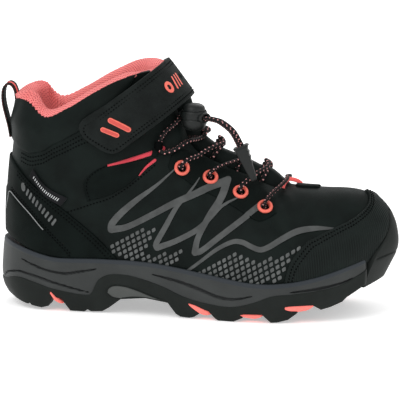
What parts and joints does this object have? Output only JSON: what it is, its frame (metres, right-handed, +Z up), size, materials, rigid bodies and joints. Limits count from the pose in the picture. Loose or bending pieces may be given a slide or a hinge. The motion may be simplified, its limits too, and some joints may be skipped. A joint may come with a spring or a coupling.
{
  "type": "hiking boot",
  "caption": "Mid-cut junior hiking boot for the right foot, with a padded collar, lugged sole, elastic lacing with a cord lock, and a hook-and-loop ankle strap.",
  "frame": {"origin": "on the ground under the middle of the boot's bounding box", "axes": "+X from heel to toe, -Y the outer (lateral) side, +Y the inner (medial) side, +Z up"},
  "size_m": [0.2516, 0.0964, 0.1569],
  "materials": {
    "upper_fabric": "woven black textile with a soft sheen",
    "coral_mesh": "padded coral mesh",
    "midsole_foam": "matt moulded foam",
    "outsole_rubber": "matt rubber",
    "tread_coral": "matt rubber",
    "lasting_board": "pressed fibre board",
    "stiffener_plastic": "matt",
    "coral_plastic": "satin moulded plastic",
    "lace_cord": "round braided elastic with pale flecks",
    "lock_plastic": "satin moulded plastic",
    "spring_steel": "drawn wire",
    "woven_label": "woven label",
    "strap_webbing": "brushed felt-like tape"
  },
  "bodies": {
    "boot": {"ankle_panel_lateral": "upper_fabric", "ankle_panel_medial": "upper_fabric", "collar_cover": "upper_fabric", "collar_padding": "coral_mesh", "cord_end_clip": "lock_plastic", "eyelet_lateral_1": "coral_plastic", "eyelet_lateral_2": "coral_plastic", "eyelet_lateral_3": "coral_plastic", "eyelet_lateral_4": "coral_plastic", "eyelet_medial_1": "coral_plastic", "eyelet_medial_2": "coral_plastic", "eyelet_medial_3": "coral_plastic", "eyelet_medial_4": "coral_plastic", "eyestay_lateral": "upper_fabric", "eyestay_medial": "upper_fabric", "footbed": "coral_mesh", "heel_band": "upper_fabric", "heel_counter": "stiffener_plastic", "heel_pull_loop": "strap_webbing", "insole_board": "lasting_board", "lace": "lace_cord", "lace_keeper": "upper_fabric", "lace_loop_lateral": "lace_cord", "lace_loop_medial": "lace_cord", "lining": "coral_mesh", "midsole": "midsole_foam", "outsole": "outsole_rubber", "quarter_lateral": "upper_fabric", "quarter_medial": "upper_fabric", "shank_plate": "stiffener_plastic", "side_label": "woven_label", "strap_anchor": "strap_webbing", "strap_loop_patch": "strap_webbing", "toe_bumper": "outsole_rubber", "toe_cap": "upper_fabric", "toe_puff": "stiffener_plastic", "tongue": "upper_fabric", "tread_insert_lateral_1": "tread_coral", "tread_insert_lateral_2": "tread_coral", "tread_insert_lateral_3": "tread_coral", "tread_insert_lateral_4": "tread_coral", "tread_insert_medial_1": "tread_coral", "tread_insert_medial_2": "tread_coral", "tread_insert_medial_3": "tread_coral", "tread_insert_medial_4": "tread_coral", "vamp": "upper_fabric"},
    "strap_bridge": {"strap_bridge": "strap_webbing", "strap_badge": "coral_plastic"},
    "strap_tab": {"strap_tab": "strap_webbing", "strap_hook_patch": "strap_webbing", "strap_bar_upper": "coral_plastic", "strap_bar_lower": "coral_plastic"},
    "cord_lock": {"cord_lock_barrel": "lock_plastic", "cord_lock_spring": "spring_steel"},
    "plunger": {"cord_lock_plunger": "lock_plastic"}
  },
  "joints": [
    {"name": "strap_swing", "type": "hinge", "parent": "boot", "child": "strap_bridge", "pos_m": [-0.03343, 0.03516, 0.12987], "axis": [-0.6119, 0, 0.7909], "range_deg": [0, 100]},
    {"name": "strap_tab_lift", "type": "hinge", "parent": "strap_bridge", "child": "strap_tab", "pos_m": [-0.03343, -0.03384, 0.12987], "axis": [-0.6119, 0, 0.7909], "range_deg": [0, 100]},
    {"name": "cord_lock_slide", "type": "slide", "parent": "boot", "child": "cord_lock", "axis": [0.848, -0.53, 0], "range_m": [0, 0.008]},
    {"name": "cord_lock_press", "type": "slide", "parent": "cord_lock", "child": "plunger", "axis": [0, 0, -1], "range_m": [0, 0.0022], "stiffness_N_per_m": 900, "springref_m": -0.001, "deforming": ["cord_lock_spring"]}
  ]
}
